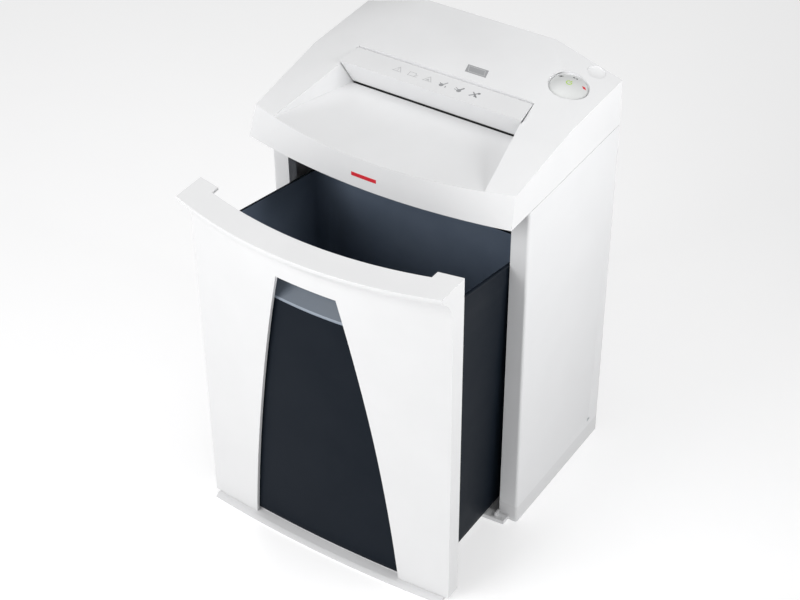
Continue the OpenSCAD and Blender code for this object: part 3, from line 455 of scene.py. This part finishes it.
cavity = carve(solid(hood_body(HOOD_WALL)), [
    solid(tray_space(HOOD_WALL)), solid(flap_space(HOOD_WALL)),
    solid(block((-200, -200, 510), (200, -109, 519.5))),
])
bosses = [solid(bore(5, 515, 600, 32, place((x, y, 0)))) for x in (-177, 177) for y in (-85, 95)]
cavity = carve(solid(cavity), bosses)
shell = carve(solid(hood_body(0)), [
    solid(cavity),
    solid(block((-187, -109, 510), (187, 109, 518.5))),
    solid(tray_space(0)),
    solid(flap_space(0.4)),
    solid(block((-SLOT_HALF, SLOT_FRONT, 530), (SLOT_HALF, -20, 560))),
    solid(block((-SLOT_HALF, SLOT_FRONT, 530), (SLOT_HALF, -1, 575))),
    solid(bore(26, -20, 10, BUTTON_STEPS, BUTTON)),
    solid(bore(12, -20, 10, CAP_STEPS, CAP)),
])
flatten(shell, HULL_FLAT)
hood = new_object("hood_shell", shell, "hood_white", smooth=18, replaces=("hood",))
soften(hood, 1.1, 3, 19)


# ---- safety flap ----------------------------------------------------------
FLAP_REAR = 127.3                   # half width along the hinge
flap_out = hull(mirror_x([(FLAP_REAR, -3.2, 587), (131.7, -38.3, 584.8), (120.7, -25.5, 552),
                          (120.7, -22.9, 552.3), (FLAP_REAR - 0.6, -3.2, 582.8)]))
flap_in = hull(mirror_x([(FLAP_REAR - 3.4, 3, 584.2), (128.4, -35.1, 582.1), (117.4, -23, 548),
                         (FLAP_REAR - 3.4, 3, 545)]))
barrel = bore(3.2, -FLAP_REAR + 0.2, FLAP_REAR - 0.2, 40, place((0, -3.2, 583.8), (90, "Y")))
flap_bm = carve(solid(flap_out), [solid(flap_in)])
flap_bm = carve(solid(flap_bm), [solid(barrel)], "UNION")
flap = new_object("flap_shell", flap_bm, "hood_white", body="flap", smooth=25,
                  replaces=("safety_flap",))
soften(flap, 0.7, 3, 25)


MARK_HEIGHT = 0.12


def stroke(points, width, height=MARK_HEIGHT, closed=False):
    """A thin raised line of even width through points in the X-Y plane."""
    bm = bmesh.new()
    pts = [Vector((p[0], p[1])) for p in points]
    n = len(pts)
    left, right = [], []
    for i, p in enumerate(pts):
        a = pts[(i - 1) % n] if closed or i > 0 else p
        b = pts[(i + 1) % n] if closed or i < n - 1 else p
        d1 = (p - a).normalized() if (p - a).length > 0 else (b - p).normalized()
        d2 = (b - p).normalized() if (b - p).length > 0 else d1
        t = (d1 + d2).normalized() if (d1 + d2).length > 1e-6 else d1
        nrm = Vector((-t.y, t.x))
        k = 1 / max(0.5, abs(nrm.dot(Vector((-d1.y, d1.x)))))
        left.append(p + nrm * width / 2 * k)
        right.append(p - nrm * width / 2 * k)
    for i in range(n if closed else n - 1):
        j = (i + 1) % n
        quad = [left[i], left[j], right[j], right[i]]
        lo = [bm.verts.new(Vector((q.x, q.y, 0)) * MM) for q in quad]
        hi = [bm.verts.new(Vector((q.x, q.y, height)) * MM) for q in quad]
        bm.faces.new(hi)
        bm.faces.new(lo[::-1])
        for k in range(4):
            bm.faces.new((lo[k], lo[(k + 1) % 4], hi[(k + 1) % 4], hi[k]))
    return bm


def plate(points, height=MARK_HEIGHT):
    """A thin raised flat over an outline in the X-Y plane."""
    return prism(points, 0, height)


def dot(cx, cy, r, n):
    """A filled disc with n + 1 corners."""
    return plate(arc(cx, cy, r, 0, 345, n))


def triangle():
    r = 6
    return stroke([(-r, -r * 0.6), (r, -r * 0.6), (0, r)], 0.8, closed=True)


# Six plain marks: generic outline signs, without any lettering
marks = [
    [triangle(), stroke([(0, 2.6), (0, -0.6)], 0.9), dot(0, -2, 0.55, 12)],
    [stroke([(-6, -3.6), (2.4, -3.6), (4.4, 0), (2.4, 3.6), (-6, 3.6)], 0.8, closed=True),
     stroke([(3, -3.4), (7, -3.4)], 0.8), stroke([(5, -1.6), (7, 0.6)], 0.8)],
    [triangle(), plate([(-2.6, -2.4), (2.6, -2.4), (0, 1.8)])],
    [dot(-2, -2, 3, 20), stroke([(0, 0), (3.4, 5.6)], 1.6), stroke([(-6, 2), (-3.5, 0.4)], 0.9),
     stroke([(4, -1.6), (5, -5)], 1.2)],
    [dot(1, -2.2, 3.1, 20), stroke([(2, 0), (5, 5.4)], 2.4), stroke([(-6, -1), (-3, -2)], 0.9),
     stroke([(-5.4, 2.2), (-2, 0.6)], 0.9)],
    [stroke([(-5.4, -4.6), (4.4, 5)], 1.8), stroke([(-4, 4.4), (5.4, -4.8)], 1.5),
     dot(4.2, 4.2, 1.9, 16), dot(2.2, -2.6, 1.9, 16)],
]
MARK_PITCH, PALE_MARKS = 22.2, 3
FLAP_SLOPE = math.atan2(2.2, 35.1)
on_flap = place((0, -20, 585.95)) @ Matrix.Rotation(FLAP_SLOPE, 4, "X")
for i, parts in enumerate(marks):
    across = place(((i - 2.5) * MARK_PITCH, 0, 0))
    new_object(f"flap_mark_{i + 1}", moved(moved(merge(*parts), across), on_flap),
               mat=PRINT_PALE if i < PALE_MARKS else PRINT_GREY, body="flap")

# Plain tag behind the flap, and a plain bar on the fascia
HOOD_RISE = 0.1808                  # the hood's top climbs this much per step backwards
on_hood = place((35.2, 19.0, 592.7)) @ Matrix.Rotation(math.atan(HOOD_RISE), 4, "X")
tag = plate([(-13.4, -6.6), (16.2, -6.6), (13.4, 6.6), (-16.2, 6.6)], 0.14)
new_object("hood_tag", moved(tag, on_hood), mat=PRINT_GREY)
inset = stroke([(-9.6, -4.6), (13.3, -4.6), (9.6, 4.6), (-13.3, 4.6)], 0.7, 0.2, closed=True)
new_object("hood_tag_line", moved(inset, on_hood), mat=PRINT_PALE)


FASCIA_LOW, FASCIA_TALL = 516.5, 41


def fascia_y(x, z):
    """Where the fascia stands at a point of it."""
    low, high = (y - sag * (1 - (x / half) ** 2) for half, y, sag in (HOOD_FOOT, HOOD_BROW))
    return low + (high - low) * (z - FASCIA_LOW) / FASCIA_TALL


BAR_LOW, BAR_HIGH, BAR_OUT, BAR_IN = 531.5, 536.5, -0.3, 0.5
bar_rows = []
for i in range(13):
    x = -21 + 3 * i
    bar_rows.append([(x, fascia_y(x, z) + d, z) for z, d in (
        (BAR_LOW, BAR_IN), (BAR_HIGH, BAR_IN), (BAR_HIGH, BAR_OUT), (BAR_LOW, BAR_OUT))])
bar = new_object("fascia_bar", rings(bar_rows), mat=PRINT_RED)
soften(bar, 0.15, 2, 30)


# ---- button, cap and bezel ------------------------------------------------
BUTTON_R, DOME_R, DOME_RISE = 24.5, 50.0, 6.4
bezel_rim = [(0.3, -13), (1.5, -13), (1.5, 0.15), (1.35, 0.5), (1.0, 0.6), (0.6, 0.5), (0.35, 0.25),
             (0.3, 0), (0.3, -13)]
bezel = lathe([(BUTTON_R + r, z) for r, z in bezel_rim], BUTTON_STEPS, BUTTON)
new_object("bezel_ring", bezel, "hood_white", replaces=("button_bezel",))


def dome(r):
    """Height of the button's face at a distance from its middle."""
    return math.sqrt(DOME_R ** 2 - r * r) - DOME_R + DOME_RISE


dish = [(r, dome(r)) for r in (0, 1.5, 3, 4.5, 6, 8, 10, 12, 14, 16, 18, 20, 22, 23.4)]
dish += [(24.0, dome(24) - 0.1), (24.35, dome(24.35) - 0.4), (BUTTON_R, -0.9),
         (BUTTON_R, -3.4), (0, -3.4)]
disc = lathe(dish, BUTTON_STEPS, BUTTON)
LEG_CIRCLE = 14
legs = [lathe([(0, -9.4), (1.7, -9.4), (2, -9.1), (2, -3.2), (0, -3.2)], 20,
              BUTTON @ place((0, 0, 0), (a, "Z")) @ place((LEG_CIRCLE, 0, 0)))
        for a in (0, 120, 240)]
new_object("button_disc", merge(disc, *legs), "button_silver", body="button", smooth=40,
           replaces=("control_button",))
SIGN_SINK = 0.03                    # how deep a sign stands in the dome


def on_button(bm, x, y, turn, mat, name):
    """Places a flat sign on the button's dome."""
    tilt = math.asin(math.hypot(x, y) / DOME_R)
    way = math.atan2(y, x)
    lean = (Matrix.Rotation(way, 4, "Z") @ Matrix.Rotation(tilt, 4, "Y")
            @ Matrix.Rotation(-way, 4, "Z"))
    spot = (BUTTON @ place((0, 0, DOME_RISE - DOME_R)) @ lean
            @ place((0, 0, DOME_R - SIGN_SINK), (turn, "Z")))
    new_object(name, moved(bm, spot), mat=mat, body="button")


# Power sign, and four small signs near the rim; "up" points to the machine's rear
power_sign = merge(stroke(arc(0, 0, 3.3, 125, 415, 36), 1.2), stroke([(0, 1.2), (0, 5.0)], 1.1))
dot_with_line = merge(dot(0, 0, 1.9, 16), stroke([(-3.2, 0), (3.2, 0)], 1.2))
small_triangle = plate([(-1.7, -1.4), (1.7, -1.4), (0, 1.7)])
lozenge = plate([(-3.5, 0), (0, -2.4), (3.5, 0), (0, 2.4)])
on_button(power_sign, -1.6, 1.6, -20, PRINT_GREEN, "button_power_sign")
on_button(dot_with_line, -16.6, 9.2, 20, PRINT_DARK, "button_sign_1")
on_button(dot(0, 0, 1.4, 14), -2.5, 16.4, 0, PRINT_DARK, "button_sign_2")
on_button(small_triangle, 1.4, 17.0, 0, PRINT_DARK, "button_sign_3")
on_button(lozenge, 16.2, 9.2, 0, PRINT_RED, "button_sign_4")

cap = lathe([(0, -0.62), (10.2, -0.6), (10.7, -0.45), (10.9, 0.1), (11.3, 0.3), (11.75, 0.2),
             (11.9, -0.1), (11.9, -5), (10, -5), (10, -2.4), (0, -2.4)], CAP_STEPS, CAP)
new_object("cap_disc", cap, "hood_white", replaces=("blanking_cap",), smooth=40)


# ---- drawer front ---------------------------------------------------------
HALF = 189.0
FRONT_WALL = 3
CHEEK_BACK, CHEEK_LEAN, CHEEK_UPRIGHT = -258.4, 0.0084, 480
# Height, y of the front's ends, bulge; the rows after the first five make the lip at the top
LEVELS = [(6.7, -285, 8.4), (120, -284, 13.4), (235, -283, 18.1), (350, -282.5, 23),
          (464, -282.5, 27.6), (474, -283, 28.3), (485, -286.6, 29.5), (498.6, -295.8, 31.5),
          (505, -303, 32.5), (509, -306.5, 32.8), (513, -307, 32.8), (514, -306.4, 32.8)]
INNER_LIP = [(472, -282.8, 28.2), (482, -285.2, 29.2), (495.5, -293.6, 31), (501, -299.5, 32),
             (510.5, -303.4, 32.4)]
outer_levels = spline(LEVELS, [10, 10, 10, 10, 4, 5, 5, 4, 3, 3, 2])
rows = []
for z, y, s in outer_levels:
    back = CHEEK_BACK - CHEEK_LEAN * max(0, CHEEK_UPRIGHT - z)
    rows.append(lift(bow(HALF, y, s) + [(HALF, back), (-HALF, back)], z))
outer = rings(rows)
inner_half, BEHIND = HALF - FRONT_WALL, -240
rows = []
for k, (z, y, s) in enumerate(spline(LEVELS[:5] + INNER_LIP, [8, 8, 8, 8, 3, 3, 4, 3, 2])):
    plan = bow(inner_half, y + FRONT_WALL, s) + [(inner_half, BEHIND), (-inner_half, BEHIND)]
    rows.append(lift(plan, 0 if k == 0 else z))
inner = rings(rows)
# Half width and height of the window's two ends, then how tall it is from z 1 and how far
# its sides bulge
WINDOW_TOP, WINDOW_LOW = (43.5, 453.0), (114.9, 6.7)
WINDOW_TALL, WINDOW_BULGE = 452, 8.2


def window_half(z):
    """Half width of the window at a height."""
    s = (WINDOW_TOP[1] - z) / (WINDOW_TOP[1] - WINDOW_LOW[1])
    return WINDOW_TOP[0] + (WINDOW_LOW[0] - WINDOW_TOP[0]) * s + 4 * WINDOW_BULGE * s * (1 - s)


def window(grow, steps=40):
    """Tall window with gently curved sides, as a prism through the drawer front."""
    heights = [1 + WINDOW_TALL * i / steps for i in range(steps)]
    side = [(window_half(z) + grow, z) for z in heights]
    side.append((WINDOW_TOP[0] + grow, WINDOW_TOP[1] + grow))
    pts = side + [(-x, z) for x, z in reversed(side)]
    return rings([[(x, y, z) for x, z in pts] for y in (-360, -200)])


# The front is thicker in a band around the window
RIM_TOP, RIM_WIDTH = 466, 2.5
band_rows = []
for z, y, s in outer_levels:
    if z <= RIM_TOP:
        band_rows.append(lift(bow(HALF - 1, y + 0.5, s) + bow(HALF - 1, y + 5, s)[::-1], z))
rim_ring = carve(solid(rings(band_rows)), [solid(window(RIM_WIDTH))], "INTERSECT")
hollow = carve(solid(inner), [solid(rim_ring)])
notch = prism(bow(156.6, -276.8, 23.4) + [(157, -264.5), (190, -258), (190, BEHIND), (-190, BEHIND),
                                          (-190, -258), (-157, -264.5)], 509, 519)
panel = carve(solid(outer), [solid(hollow), solid(window(0)), solid(notch)])
front = new_object("drawer_front", panel, "panel_white", body="drawer", smooth=24,
                   replaces=("front_panel",))
soften(front, 0.9, 3, 32)


# ---- waste bin ------------------------------------------------------------
# Height, half width, y of the front's ends, bulge, y of the back, rear corner radius
BIN = [(8.5, 150, -281.9, 6, -43, 20), (412, 162, -277.8, 23, -39.2, 25),
       (430, 162.6, -262, 22, -39, 25), (475, 163.8, -262, 22, -38.6, 25)]
BIN_WALL, BIN_FOOT = 2.2, 8.5
RIM_HEIGHT, RIM_FALL, RIM_FROM = 439.2, 0.19, -163   # the rim at that y, and its fall backwards
DIP_START = 380                     # above this height a ring dips towards the back
DIP_FROM, DIP_RUN, DIP_STEEP = -250, 210, 0.82
FACE_BACK = -255                    # points in front of this belong to the front face


def bin_level(z):
    for a, b in zip(BIN, BIN[1:]):
        if z <= b[0] or b is BIN[-1]:
            t = (z - a[0]) / (b[0] - a[0])
            return [u + (v - u) * t for u, v in zip(a, b)]


def bin_ring(z, g, drop=0.0):
    """Outline of the bin at a height, shrunk by g and lowered by drop."""
    p = bin_level(z)
    return [(x, y, z - drop) for x, y in bowed_plan(p[1] - g, p[2] + g, p[3], p[4] - g, p[5] - g)]


def bin_rim(g, drop):
    """Outline along the sloping rim, at a depth below it."""
    p = BIN[2]
    plan = bowed_plan(p[1] + 0.4 - g, p[2] + g, p[3], p[4] - g, p[5] - g)
    return [(x, y, RIM_HEIGHT - RIM_FALL * (y - RIM_FROM) - drop) for x, y in plan]


def low_back(z, g, front=0.0):
    """Ring that is flat at the ledge in front and dips with the rim towards the back.

    g shrinks the whole ring and front moves only its front face inwards.
    """
    out = []
    for x, y, h in bin_ring(z, g):
        share = min(1.0, max(0.0, (y - DIP_FROM) / DIP_RUN))
        at_front = front if y < FACE_BACK else 0.0
        dip = share * (z - DIP_START) * DIP_STEEP if z > DIP_START else 0.0
        out.append((x, y + at_front, h - dip))
    return out


outer_skin = [bin_ring(BIN_FOOT, 5)]
outer_skin += [bin_ring(BIN_FOOT, g, -d) for g, d in ((2.2, 0.4), (0.8, 1.6), (0.15, 3.2))]
outer_skin += [bin_ring(z, 0) for z in (20, 80, 140, 200, 260, 320, 370)]
outer_skin += [low_back(z, 0, f) for z, f in (
    (400, 0), (408, 0), (410, 0.05), (411.2, 0.3), (412, 0.75), (412.8, 0.7), (414, 0.4),
    (416, 0.1), (422, 0), (428, 0), (432, 0))]
outer_skin += [bin_rim(0, d) for d in (4.4, 4.2)]
outer_skin += [bin_rim(g, d) for g, d in (
    (-0.7, 4.05), (-1.2, 3.6), (-1.4, 2.8), (-1.4, 1.0), (-1.15, 0.35), (-0.7, 0.05), (0, 0),
    (1.2, 0), (1.8, 0.1), (2.1, 0.45), (BIN_WALL, 1))]
inner_skin = [bin_rim(BIN_WALL, d) for d in (4.4, 12)]
inner_skin += [low_back(z, BIN_WALL) for z in (432, 430, 412, 400)]
inner_skin += [bin_ring(z, BIN_WALL) for z in (370, 260, 140, 40, 22)]
inner_skin += [bin_ring(BIN_FOOT, g, -d) for g, d in ((2.4, 10), (3.4, 5.0), (5.4, 3.0), (9, 2.3))]
tub = new_object("bin_tub", rings(outer_skin + inner_skin), "bin_dark", body="drawer", smooth=32,
                 replaces=("waste_bin",))
# Material slots for the painted light inside the bin, the painted sheen on the ledge and the
# painted highlight on its edge
INSIDE_LIGHT_SLOT, LEDGE_SHEEN_SLOT, EDGE_HIGHLIGHT_SLOT = 1, 2, 3
# Where the painted highlight and sheen lie: in front of LEDGE_Y, the highlight from LEDGE_FROM to
# EDGE_TOP, the sheen from there to LEDGE_TO
LEDGE_Y, LEDGE_FROM, EDGE_TOP, LEDGE_TO = -0.256, 0.4105, 0.4130, 0.4335   # in metres
for extra in (BIN_INSIDE_PAINTED_LIGHT, BIN_LEDGE_PAINTED_SHEEN, BIN_EDGE_PAINTED_HIGHLIGHT):
    tub.data.materials.append(extra)
# Faces follow the rows: the outer skin, the inner skin, then the outside and inside of the floor
inside_from = (len(outer_skin) - 2) * len(outer_skin[0])
last = len(tub.data.polygons) - 1
for k, f in enumerate(tub.data.polygons):
    # Painted light: the inner skin and the inside of the floor take the lighter copy of the bin
    # plastic
    if inside_from <= k < last - 1 or k == last:
        f.material_index = INSIDE_LIGHT_SLOT
    # Painted highlight on the ledge's rounded front edge, and painted sheen on the slope above it
    elif k < inside_from and f.center.y < LEDGE_Y and LEDGE_FROM < f.center.z < LEDGE_TO:
        f.material_index = EDGE_HIGHLIGHT_SLOT if f.center.z < EDGE_TOP else LEDGE_SHEEN_SLOT


# ---- drawer floor plate with its plinth strip -----------------------------
STRIP_HALF = 182.5
strip_rows = []
for z, f, b in ((1.0, -294.4, -270.6), (1.5, -295, -270.2), (2.8, -295, -270.2),
                (4.2, -293.2, -270.4), (6.1, -290, -270.8), (6.5, -289.2, -271.4)):
    strip_rows.append(lift(bow(STRIP_HALF, f, 9.8) + bow(STRIP_HALF, b, 9.4)[::-1], z))
strip = rings(strip_rows)
sheet = prism(bow(142, -280, 5.6) + [(142, -45), (-142, -45)], 6.5, 8.5)
floor_plate = new_object("drawer_plinth", carve(solid(strip), [solid(sheet)], "UNION"), "sill_grey",
                         body="drawer", smooth=30, replaces=("drawer_carrier",))
soften(floor_plate, 0.35, 2, 40)

# ---- CAD nodes with rounded edges, and their materials --------------------
for node, width in (("base_tray", 0.7), ("cabinet_left", 0.9), ("cabinet_right", 0.9),
                    ("rear_panel", 0.5), ("front_cross_rail", 0.3), ("cable_gland", 0.6),
                    ("deck_plate", 0.3), ("feed_throat", 0.3)):
    refined(node, width)
for node, o in NODES.items():
    o.data.materials.clear()
    o.data.materials.append(MAT[SLOT_OF[node]])

# ---- stage, camera and light ----------------------------------------------
bpy.ops.mesh.primitive_plane_add(size=14, location=(0, 1.0, 0))
ground = bpy.context.object
ground.name = "studio_floor"
floor_mat = surface("studio_floor", (0.60, 0.60, 0.605), 0.24, (30, 0.0), cloud=0.004,
                    spread=0.02, spec=0.35)
ground.data.materials.append(floor_mat)
floor_shader = floor_mat.node_tree.nodes["Principled BSDF"]
floor_shader.inputs["Emission Color"].default_value = (1, 1, 1, 1)
floor_shader.inputs["Emission Strength"].default_value = 0.52

world = bpy.data.worlds.new("studio")
bpy.context.scene.world = world
world.use_nodes = True
world.node_tree.nodes["Background"].inputs["Color"].default_value = (1, 1, 1, 1)
world.node_tree.nodes["Background"].inputs["Strength"].default_value = 0.30


def area(name, at, look, size, power):
    """A white area light that faces a point."""
    d = bpy.data.lights.new(name, "AREA")
    d.shape = "RECTANGLE"
    d.size, d.size_y = size
    d.energy = power
    o = bpy.data.objects.new(name, d)
    bpy.context.collection.objects.link(o)
    o.location = at
    o.rotation_euler = (Vector(look) - Vector(at)).to_track_quat("-Z", "Y").to_euler()
    return o


area("key", (-0.55, -1.50, 1.30), (0, -0.2, 0.4), (0.95, 0.75), 16.0)
area("top", (-0.2, -0.2, 2.2), (0, 0, 0.5), (1.6, 1.6), 12)
area("side", (1.15, 0.0, 0.92), (0.19, 0, 0.66), (0.5, 0.5), 2.3).data.spread = math.radians(95)
area("fill", (0.95, -1.35, 0.55), (0.17, -0.11, 0.3), (0.5, 0.5), 3.0)

cam_data = bpy.data.cameras.new("camera")
cam = bpy.data.objects.new("camera", cam_data)
bpy.context.collection.objects.link(cam)
# Where the camera stands, how it is turned and what it takes in
right = Vector((0.82538779, 0.5639642, -0.02606466))
down = Vector((0.34088022, -0.5346328, -0.77328419))
fwd = Vector((-0.45003962, 0.62937441, -0.63352363))
turn = Matrix((right, -down, -fwd)).transposed()
cam.matrix_world = Matrix.Translation((1.02938389, -1.66579348, 1.78166372)) @ turn.to_4x4()
cam_data.lens = 82.3626
cam_data.sensor_width = 36
cam_data.sensor_fit = "HORIZONTAL"
cam_data.shift_x = 0.0664150
cam_data.shift_y = 0.0378095
cam_data.clip_end = 50
bpy.context.scene.camera = cam
bpy.context.scene.view_settings.view_transform = "Standard"
